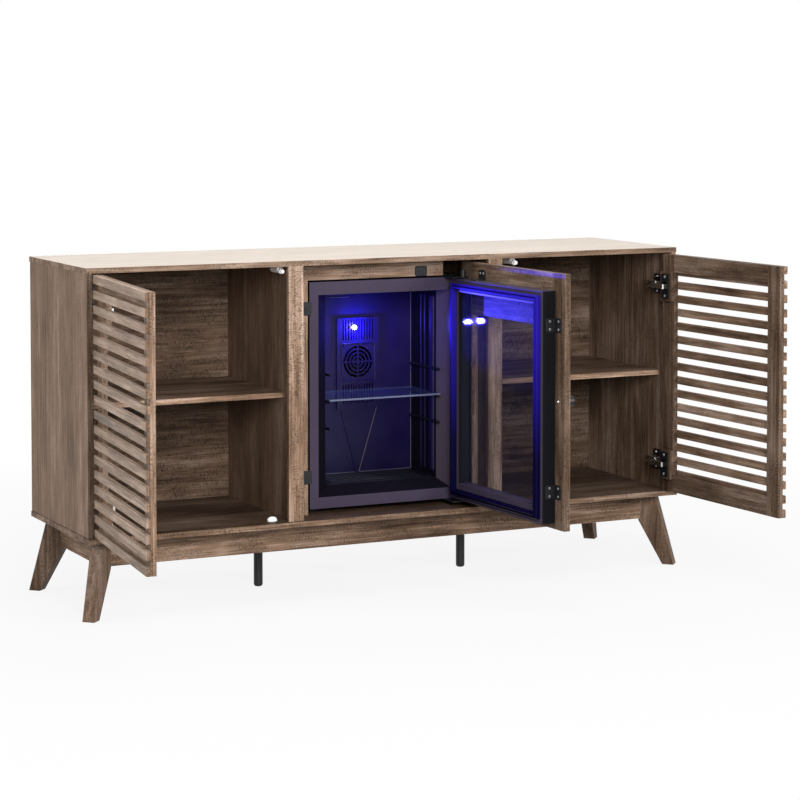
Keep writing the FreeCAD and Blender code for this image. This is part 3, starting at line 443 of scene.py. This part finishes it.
FINISHES = [
    (wood_top, ["top_panel"]),
    (wood_x, ["fridge_rail", "front_apron", "rear_apron", "bottom_panel"]),
    (wood_inside, ["left_shelf", "right_shelf"]),
    (wood_y, ["side_aprons"]),
    (wood_side, ["left_side_panel", "right_side_panel", "left_partition", "right_partition"]),
    (wood_z, ["left_stile", "right_stile", "fridge_filler"]),
    (wood_legs, ["front_left_leg", "front_right_leg", "rear_left_leg", "rear_right_leg"]),
    (wood_left_stiles, ["left_door_frame"]),
    (wood_right_stiles, ["right_door_frame"]),
    (wood_centre_stiles, ["centre_door_frame"]),
    (wood_back, ["left_back_panel", "centre_back_panel"]),
    (wood_back_shade, ["right_back_panel"]),
    (wood_left_slats, ["left_door_slats"]),
    (wood_right_slats, ["right_door_slats"]),
    (black_paint, ["support_legs", "hinge_plates", "left_hinge_cups", "right_hinge_cups", "fridge_brackets",
                   "fridge_hinges", "door_brackets", "door_knob"]),
    (nickel, ["hinge_arms", "left_hinge_links", "right_hinge_links", "shelf_pins"]),
    (white_plastic, ["latch_housings", "left_latch_plunger", "right_latch_plunger"]),
    (fridge_skin, ["fridge_front_frame", "glass_door_frame"]),
    (fridge_steel, ["fridge_shell", "power_inlet", "rear_grille"]),
    (liner_skin, ["fridge_liner", "fan_cover"]),
    (tray_skin, ["fan_rotor", "fan_motor", "cooling_chip", "shelf_ledges", "cold_sink"]),
    (rubber, ["fridge_feet"]),
    (seal_skin, ["door_gasket"]),
    (led_lens, ["led_module"]),
    (door_glass, ["glass_door_panes"]),
    (shelf_glass, ["glass_shelf"]),
    (aluminium, ["hot_sink"]),
]


def paint(piece, material):
    piece.data.materials.clear()
    piece.data.materials.append(material)


def paint_where(node, material, test):
    """A second finish on those faces of a CAD node whose middle and direction pass the test."""
    mesh = nodes[node].data
    mesh.materials.append(material)
    for polygon in mesh.polygons:
        if test(polygon.center, polygon.normal):
            polygon.material_index = len(mesh.materials) - 1


def paint_rails(node, leaf, stile, material):
    """The grain of a door's rails runs along them, between its two stiles."""
    low, high = reach(node, leaf)

    def on_rail(middle, normal):
        return low.x + stile < (leaf.shut @ middle).x < high.x - stile

    paint_where(node, material, on_rail)


def on_free_side(middle, normal):
    """True on the side of the glass door that lies away from its hinge."""
    return (centre_leaf.shut.to_3x3() @ normal).x < -0.5


for material, names in FINISHES:
    for name in names:
        paint(nodes[name], material)
paint_rails("left_door_frame", left_leaf, DOOR_STILE, wood_left_rails)
paint_rails("right_door_frame", right_leaf, DOOR_STILE, wood_right_rails)
paint_rails("centre_door_frame", centre_leaf, CENTRE_STILE, wood_centre_rails)

# Faces that differ from the rest of their piece
paint_where("glass_shelf", glass_edge, lambda middle, normal: normal.y < -0.5)
# Painted shade on the bay floors
paint_where("bottom_panel", wood_floor, lambda middle, normal: normal.z > 0.5)
# Only the top face of the worktop carries the painted light; its edges and underside take the plain board
paint_where("top_panel", wood_x, lambda middle, normal: normal.z < 0.5)
# Painted light on the shelves' front edges
paint_where("left_shelf", wood_edges, lambda middle, normal: normal.y < -0.5)
paint_where("right_shelf", wood_edges, lambda middle, normal: normal.y < -0.5)
# Painted shade on the side panels' inner faces
paint_where("right_side_panel", wood_side_inside, lambda middle, normal: normal.x < -0.5)
paint_where("left_side_panel", wood_side_inside, lambda middle, normal: normal.x > 0.5)
paint_where("left_side_panel", wood_shade, lambda middle, normal: normal.y < -0.5)
# The slats' end faces keep the plain stile tone; only their broad faces carry the painted light
paint_where("left_door_slats", wood_left_stiles, lambda middle, normal: abs(normal.y) > 0.5)
# Painted shade on the frame's faces that face neither front nor back, mostly its mouth
paint_where("fridge_front_frame", mouth_skin, lambda middle, normal: abs(normal.y) < 0.95)
# Painted light on the mouth's right bevel
paint_where("fridge_front_frame", bevel_skin, lambda middle, normal: normal.x < -0.5 and middle.x > 0)
# Painted shade on the liner's right wall and floor
paint_where("fridge_liner", mouth_skin, lambda middle, normal: normal.x < -0.5 or normal.z > 0.5)
paint_where("glass_door_frame", door_black, on_free_side)


def piece(name, shape, material, leaf=fixed, replaced=()):
    """Turns a finished bmesh, drawn with its door shut, into a piece that rides on the door's body."""
    bmesh.ops.recalc_face_normals(shape, faces=shape.faces)
    bmesh.ops.transform(shape, matrix=leaf.open, verts=shape.verts)
    mesh = bpy.data.meshes.new(name)
    shape.to_mesh(mesh)
    shape.free()
    made = bpy.data.objects.new(name, mesh)
    scene.collection.objects.link(made)
    paint(made, material)
    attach(made, leaf.body)
    if replaced:
        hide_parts(*replaced)
    return made


def facing(place, normal, up=UP):
    """A frame at a place with its own Z along the normal and its own Y as near to up as it can be."""
    z = Vector(normal).normalized()
    x = Vector(up).cross(z)
    x = x.normalized() if x.length > 1e-6 else Vector((1, 0, 0))
    turn = Matrix((x, z.cross(x), z)).transposed().to_4x4()
    return Matrix.Translation(place) @ turn


def lathe(shape, where, profile, steps=20):
    """Turns a profile of (radius, height) points about the frame's Z; zero radii close the ends."""
    rings = []
    for radius, height in profile:
        if radius == 0:
            rings.append([shape.verts.new(where @ Vector((0, 0, height)))])
            continue
        angles = [2 * math.pi * step / steps for step in range(steps)]
        rings.append([shape.verts.new(where @ Vector((radius * math.cos(a), radius * math.sin(a), height)))
                      for a in angles])
    for low, high in zip(rings, rings[1:]):
        for step in range(steps):
            after = (step + 1) % steps
            if len(low) == 1:
                shape.faces.new((low[0], high[step], high[after]))
            elif len(high) == 1:
                shape.faces.new((low[step], low[after], high[0]))
            else:
                shape.faces.new((low[step], low[after], high[after], high[step]))


def screw(shape, where, radius):
    """A domed screw head with a cross recess."""
    arm = radius * 0.55
    slot = radius * 0.14
    depth = radius * 0.35
    top = radius * 0.5
    cross = [(slot, slot), (slot, arm), (-slot, arm), (-slot, slot), (-arm, slot), (-arm, -slot),
             (-slot, -slot), (-slot, -arm), (slot, -arm), (slot, -slot), (arm, -slot), (arm, slot)]
    count = 24
    rings = []
    for size, height in ((1.0, 0.0), (0.96, 0.22), (0.80, 0.42), (0.62, 0.5)):
        ring = []
        for step in range(count):
            angle = 2 * math.pi * (step + 0.5) / count
            spread = radius * size
            spot = Vector((spread * math.cos(angle), spread * math.sin(angle), radius * height))
            ring.append(shape.verts.new(where @ spot))
        rings.append(ring)
    for low, high in zip(rings, rings[1:]):
        for step in range(count):
            after = (step + 1) % count
            shape.faces.new((low[step], low[after], high[after], high[step]))
    rim = [shape.verts.new(where @ Vector((x, y, top))) for x, y in cross]
    base = [shape.verts.new(where @ Vector((x, y, top - depth))) for x, y in cross]
    for step in range(len(cross)):
        after = (step + 1) % len(cross)
        shape.faces.new((rim[step], rim[after], base[after], base[step]))
    shape.faces.new(base)
    edges = [shape.edges.get((rings[-1][step], rings[-1][(step + 1) % count])) for step in range(count)]
    edges += [shape.edges.get((rim[step], rim[(step + 1) % len(rim)])) for step in range(len(rim))]
    bmesh.ops.triangle_fill(shape, edges=edges, use_beauty=True)


def plate(shape, where, width, height, thickness, radius, bevel=0.0006):
    """A plate with rounded corners and softened edges that stands on the frame's XY plane."""
    rings = []
    for inset, level in ((0, 0), (0, thickness - bevel), (bevel, thickness)):
        ring = []
        for quarter, (side_x, side_y) in enumerate(((1, 1), (-1, 1), (-1, -1), (1, -1))):
            for step in range(5):
                angle = math.radians(90 * quarter + 22.5 * step)
                x = side_x * (width / 2 - radius) + (radius - inset) * math.cos(angle)
                y = side_y * (height / 2 - radius) + (radius - inset) * math.sin(angle)
                ring.append(shape.verts.new(where @ Vector((x, y, level))))
        rings.append(ring)
    for low, high in zip(rings, rings[1:]):
        for step in range(len(low)):
            after = (step + 1) % len(low)
            shape.faces.new((low[step], low[after], high[after], high[step]))
    shape.faces.new(rings[0])
    shape.faces.new(rings[-1])


def ridge(shape, start, end, radius, steps=10):
    """A round-backed bar from point to point, with domed ends, half sunk in what carries it."""
    start, end = Vector(start), Vector(end)
    length = (end - start).length
    up = UP if abs((end - start).z) < 0.9 * length else BACK
    where = facing(start, end - start, up)
    lathe(shape, where, [(0, -radius * 0.6), (radius * 0.7, -radius * 0.4), (radius, 0), (radius, length),
                         (radius * 0.7, length + radius * 0.4), (0, length + radius * 0.6)], steps)


def mitred_ring(shape, low, high, profile):
    """Sweeps a profile of (inset, Y) points round a rectangle in X and Z, with mitred corners."""
    rings = []
    for inset, y in profile:
        corners = ((low.x + inset, low.z + inset), (high.x - inset, low.z + inset),
                   (high.x - inset, high.z - inset), (low.x + inset, high.z - inset))
        rings.append([shape.verts.new((x, y, z)) for x, z in corners])
    for first, second in zip(rings, rings[1:] + rings[:1]):
        for side in range(4):
            after = (side + 1) % 4
            shape.faces.new((first[side], first[after], second[after], second[side]))


def screws(name, places, radius, leaf=fixed, material=bright_steel):
    shape = bmesh.new()
    for where in places:
        screw(shape, where, radius)
    return piece(name, shape, material, leaf)


def door_seal():
    """Rubber seal with two ridges and a groove, and the raised lip of the glass door round it."""
    low, high = reach("door_gasket", centre_leaf)
    base = low.y
    crest = high.y - 0.0045
    width = 0.013
    middle = (base + crest) / 2
    profile = [(0, base), (0, middle), (0.001, crest - 0.003), (0.003, crest - 0.002), (0.0045, middle),
               (0.006, middle), (0.007, crest - 0.001), (0.009, crest), (0.011, crest - 0.001),
               (width - 0.001, middle), (width, base)]
    seal = bmesh.new()
    mitred_ring(seal, low, high, profile)
    piece("seal_ring", seal, seal_skin, centre_leaf, ["door_gasket"])
    edge_low, edge_high = reach("glass_door_frame", centre_leaf)
    lip = bmesh.new()
    root = base - 0.001
    mitred_ring(lip, edge_low, edge_high,
                [(0.0005, root), (0.0005, base + 0.0012), (0.003, base + 0.0016), (0.0045, base + 0.0006),
                 (0.0045, root)])
    inset = Vector((0.031, 0, 0.024))
    mitred_ring(lip, edge_low + inset, edge_high - inset,
                [(0, root), (0, base + 0.001), (0.002, base + 0.0016), (0.004, base + 0.001), (0.004, root)])
    piece("glass_door_lips", lip, fridge_skin, centre_leaf)


def door_fixings():
    """Angle brackets that hold the wooden frame to the glass door, their screws and the knob's."""
    plates = bmesh.new()
    heads = []
    for low, high in solids("door_brackets", centre_leaf):
        middle = (low + high) / 2
        wide, deep, tall = high - low
        if low.z > reach("glass_door_frame", centre_leaf)[1].z - 0.001:
            plate(plates, facing((middle.x, low.y, middle.z), BACK), wide, tall, SHEET, 0.006)
            plate(plates, facing((middle.x, middle.y, low.z), UP, BACK), wide, deep, SHEET, 0.004)
            heads += [facing((middle.x + side * 0.007, low.y + SHEET, high.z - 0.009), BACK)
                      for side in (-1, 1)]
            continue
        plate(plates, facing((middle.x, low.y, middle.z), BACK), wide, tall, SHEET, 0.005)
        plate(plates, facing((high.x, middle.y, middle.z), (-1, 0, 0)), deep, tall, SHEET, 0.005)
        for side in (-1, 1):
            level = middle.z + side * 0.009
            heads.append(facing((low.x + 0.010, low.y + SHEET, level), BACK))
            heads.append(facing((high.x - SHEET, high.y - 0.010, level), (-1, 0, 0)))
    piece("door_angle_plates", plates, black_paint, centre_leaf, ["door_brackets"])
    screws("door_angle_screws", heads, ANGLE_SCREW, centre_leaf, grey_bolt)
    knob_low, knob_high = reach("door_knob", centre_leaf)
    inner_face = reach("centre_door_frame", centre_leaf)[1].y
    spot = ((knob_low.x + knob_high.x) / 2, inner_face, (knob_low.z + knob_high.z) / 2)
    screws("knob_screw", [facing(spot, BACK)], KNOB_SCREW, centre_leaf)


def bay_fixings():
    """Rounded fixing plates of the fridge, with a screw each, and screws on its hinge plates."""
    plates = bmesh.new()
    heads = []
    for low, high in solids("fridge_brackets"):
        middle = (low + high) / 2
        wide, deep, tall = high - low
        plate(plates, facing((middle.x, high.y, middle.z), FRONT), wide, tall, deep, 0.004)
        heads.append(facing((middle.x - 0.004, low.y, middle.z), FRONT))
    piece("bay_fixing_plates", plates, black_paint, fixed, ["fridge_brackets"])
    low, high = solids("fridge_hinges")[-1]
    top_face = reach("fridge_shell")[1].z + 0.003
    heads += [facing((low.x + 0.012 + 0.016 * number, high.y - 0.012, top_face), UP, BACK)
              for number in range(2)]
    screws("bay_fixing_screws", heads, BAY_SCREW, fixed, black_paint)


def hinge_screws():
    """Two screws on each hinge cup's wings and two on each hinge's mounting plate."""
    for word, leaf in (("left", left_leaf), ("right", right_leaf)):
        heads = []
        for low, high in solids(f"{word}_hinge_cups", leaf):
            middle = (low + high) / 2
            heads += [facing((middle.x, high.y, middle.z + side * 0.023), BACK) for side in (-1, 1)]
        screws(f"{word}_cup_screws", heads, CUP_SCREW, leaf, grey_bolt)
    heads = []
    for low, high in solids("hinge_plates"):
        middle = (low + high) / 2
        side = -1 if middle.x < 0 else 1
        face = high.x if side < 0 else low.x
        heads += [facing((face, middle.y, middle.z + step * 0.018), (-side, 0, 0)) for step in (-1, 1)]
    screws("hinge_plate_screws", heads, PLATE_SCREW)


def latch_bodies():
    """Push latches as round barrels on small feet under the top, and low rounded stops on the floor."""
    shape = bmesh.new()
    for low, high in solids("latch_housings"):
        middle = (low + high) / 2
        wide, deep, tall = high - low
        if low.z < 0.3:
            radius = wide * 0.42
            stretch = Matrix.Diagonal((1, deep / wide, 1, 1))
            lathe(shape, Matrix.Translation((middle.x, middle.y, low.z)) @ stretch,
                  [(radius, 0), (radius, tall * 0.35), (radius * 0.8, tall * 0.75),
                   (radius * 0.45, tall * 0.95), (0, tall)])
            continue
        radius = wide / 2
        axis = facing((middle.x, low.y, low.z + radius), BACK)
        lathe(shape, axis, [(0.0042, 0), (radius * 0.78, 0), (radius * 0.86, 0.002), (radius * 0.86, 0.010),
                            (radius * 0.70, 0.012), (radius * 0.70, deep - 0.010),
                            (radius * 0.5, deep - 0.003), (0, deep)])
        foot = facing((middle.x, middle.y, high.z), (0, 0, -1), BACK)
        plate(shape, foot, wide, deep * 0.7, tall - radius, 0.003)
    piece("latch_barrels", shape, white_plastic, fixed, ["latch_housings"])


def liner_moulding():
    """Ribs of the liner's side walls, drain ridges and a slit on its back, and the tray on its floor."""
    low, high = reach("fridge_liner")
    left, right = low.x + LINER_WALL, high.x - LINER_WALL
    back = high.y - LINER_WALL
    floor = low.z + LINER_WALL
    shape = bmesh.new()
    for y, radius in ((0.008, 0.004), (-0.013, 0.004), (-0.052, 0.014)):
        for x in (left - radius / 2, right + radius / 2):
            ridge(shape, (x, y, low.z + 0.02), (x, y, high.z - 0.02), radius, 24)
    foot = floor + 0.004
    ridge(shape, (-0.026, back, 0.395), (0.015, back, foot), 0.0016)
    ridge(shape, (0.015, back, foot), (0.023, back, foot), 0.0020)
    piece("liner_moulding", shape, liner_skin)
    slit = bmesh.new()
    ridge(slit, (-0.055, back, high.z - 0.024), (-0.003, back, high.z - 0.024), 0.0010)
    ridge(slit, (0.073, back, 0.402), (0.023, back, foot), 0.0009)
    ridge(slit, (right, back, foot), (right, back, high.z - LINER_WALL), 0.0012)
    ridge(slit, (left, back, foot), (right, back, foot), 0.0008)
    piece("liner_edges", slit, edge_line)
    tray = bmesh.new()
    middle = ((low.x + high.x) / 2, (low.y + high.y) / 2)
    tray_height = 0.003
    tray_gap = 0.016
    plate(tray, facing((*middle, floor), UP, BACK), high.x - low.x - tray_gap, high.y - low.y - tray_gap,
          tray_height, 0.006)
    for number in range(5):
        y = low.y + 0.024 + 0.022 * number
        top = floor + tray_height
        ridge(tray, (low.x + 0.03, y, top), (high.x - 0.03, y, top), 0.0022)
    piece("floor_tray", tray, tray_skin)


def shelf_rods():
    """Round shelf supports with domed tips along the liner's side walls."""
    shape = bmesh.new()
    for low, high in solids("shelf_ledges"):
        middle = (low + high) / 2
        radius = (high.z - low.z) * 0.62
        ridge(shape, (middle.x, low.y + radius, middle.z), (middle.x, high.y, middle.z), radius, 18)
        tip = facing((middle.x, low.y + 0.006, middle.z), FRONT)
        plate(shape, tip, high.x - low.x, high.z - low.z, 0.003, 0.002)
    piece("shelf_rods", shape, tray_skin, fixed, ["shelf_ledges"])


def lamp_dome():
    """The lamp's dark body and its small round lens."""
    low, high = reach("led_module")
    middle = (low + high) / 2
    body = bmesh.new()
    wide, deep, tall = high - low
    plate(body, facing((middle.x, high.y, middle.z), FRONT), wide, tall, deep, 0.002)
    piece("lamp_body", body, liner_skin, fixed, ["led_module"])
    dome = bmesh.new()
    radius = 0.0055
    lathe(dome, facing((middle.x, low.y, middle.z), FRONT),
          [(radius, -0.001), (radius, 0.001), (radius * 0.86, 0.0028), (radius * 0.5, 0.0042), (0, 0.0047)])
    piece("lamp_lens", dome, led_lens)


def fan_plate():
    """Raised outline and corner screws of the square plate round the fan guard."""
    face = reach("fan_cover")[0].y
    rotor_low, rotor_high = reach("fan_rotor")
    middle = (rotor_low + rotor_high) / 2
    half = 0.045
    corner = Vector((half, 0, half))
    screw_half = half - 0.006
    shape = bmesh.new()
    mitred_ring(shape, middle - corner, middle + corner,
                [(0, face + 0.001), (0, face - 0.0012), (0.001, face - 0.0018), (0.0022, face - 0.0012),
                 (0.0022, face + 0.001)])
    piece("fan_plate_outline", shape, liner_skin)
    heads = [facing((middle.x + side * screw_half, face, middle.z + step * screw_half), FRONT)
             for side in (-1, 1) for step in (-1, 1)]
    screws("fan_plate_screws", heads, FAN_SCREW, fixed, tray_skin)


def back_screws():
    """Screws along the back boards' edges and at the rear grille's corners."""
    heads = []
    for word in ("left", "centre", "right"):
        low, high = reach(f"{word}_back_panel")
        for x in (low.x + 0.012, (low.x + high.x) / 2, high.x - 0.012):
            heads += [facing((x, high.y, z), BACK) for z in (low.z + 0.012, high.z - 0.012)]
    low, high = reach("rear_grille")
    heads += [facing((x, high.y, z), BACK) for x in (low.x + 0.004, high.x - 0.004)
              for z in (low.z + 0.004, high.z - 0.004)]
    screws("back_screws", heads, BACK_SCREW)


door_seal()
door_fixings()
bay_fixings()
hinge_screws()
latch_bodies()
liner_moulding()
shelf_rods()
lamp_dome()
fan_plate()
back_screws()


def background_rays(tree):
    """1 for rays that see the background: from the camera, in reflections and through glass."""
    path = tree.nodes.new("ShaderNodeLightPath")
    total = path.outputs["Is Camera Ray"]
    for name in ("Is Glossy Ray", "Is Transmission Ray"):
        added = tree.nodes.new("ShaderNodeMath")
        added.operation = "MAXIMUM"
        tree.links.new(total, added.inputs[0])
        tree.links.new(path.outputs[name], added.inputs[1])
        total = added.outputs[0]
    return total


def stand(name, light, place, target=None):
    holder = bpy.data.objects.new(name, light)
    holder.location = place
    if target is not None:
        holder.rotation_euler = (Vector(target) - Vector(place)).to_track_quat("-Z", "Y").to_euler()
    scene.collection.objects.link(holder)


def room():
    """A world that is white to look at and lights the object only a little."""
    world = bpy.data.worlds.new("studio")
    scene.world = world
    world.use_nodes = True
    tree = world.node_tree
    surface = tree.nodes["Background"]
    surface.inputs["Color"].default_value = (1, 1, 1, 1)
    level = tree.nodes.new("ShaderNodeMapRange")
    level.inputs["To Min"].default_value = ROOM_LIGHT
    level.inputs["To Max"].default_value = 1.0
    tree.links.new(background_rays(tree), level.inputs["Value"])
    tree.links.new(level.outputs[0], surface.inputs["Strength"])


def paper_floor():
    """Grey paper that takes the object's shadow and looks white, the more so the farther away."""
    bpy.ops.mesh.primitive_plane_add(size=60, location=(0, 0, -0.0005))
    floor = bpy.context.object
    floor.name = "floor"
    shade = Shader("floor_paper")
    grain = shade.noise(shade.place(), 40.0, 3.0)
    shade.set(Base_Color=shade.mix(grain, (0.42, 0.42, 0.42, 1), (0.46, 0.46, 0.46, 1)), Roughness=0.9)
    white = shade.node("ShaderNodeEmission", Color=(1, 1, 1, 1))
    distance = shade.node("ShaderNodeVectorMath", Vector=shade.place())
    distance.operation = "LENGTH"
    whiteness = shade.span(distance.outputs["Value"], FLOOR_NEAR, FLOOR_FAR, FLOOR_WHITE, 1.0)
    share = shade.math("MULTIPLY", background_rays(shade.tree), whiteness)
    blended = shade.node("ShaderNodeMixShader", Fac=share)
    shade.feed(blended.inputs[1], shade.surface.outputs[0])
    shade.feed(blended.inputs[2], white.outputs[0])
    shade.feed(shade.output.inputs["Surface"], blended.outputs[0])
    paint(floor, shade.material)


def studio_lamps():
    for name, (place, target, size, power) in STUDIO_LAMPS.items():
        light = bpy.data.lights.new(name, "AREA")
        light.energy = power
        light.size = size
        stand(name, light, place, target)


def fridge_lamp():
    """Blue light just in front of the lamp's lens."""
    low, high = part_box("led_module")
    lens = Vector(((low[0] + high[0]) / 2, low[1] - LED_AHEAD, (low[2] + high[2]) / 2))
    glow = bpy.data.lights.new("led_glow", "POINT")
    glow.energy = GLOW_POWER
    glow.color = LED_BLUE
    glow.shadow_soft_size = LED_SIZE
    stand("led_glow", glow, lens)
    beam = bpy.data.lights.new("led_beam", "SPOT")
    beam.energy = BEAM_POWER
    beam.color = LED_BLUE
    beam.spot_size = math.radians(BEAM_ANGLE)
    beam.spot_blend = BEAM_BLEND
    beam.shadow_soft_size = LED_SIZE
    stand("led_beam", beam, lens, BEAM_TARGET)


def photographed_view():
    camera = bpy.data.cameras.new("camera")
    camera.sensor_width = SENSOR
    camera.lens = FOCAL_LENGTH
    camera.shift_x = SHIFT_X
    camera.shift_y = SHIFT_Y
    camera.dof.use_dof = False
    holder = bpy.data.objects.new("camera", camera)
    holder.location = CAMERA_PLACE
    holder.rotation_euler = (math.radians(90 - CAMERA_DIP), 0, math.radians(CAMERA_TURN))
    scene.collection.objects.link(holder)
    scene.camera = holder


room()
paper_floor()
studio_lamps()
fridge_lamp()
photographed_view()
scene.view_settings.view_transform = "Standard"
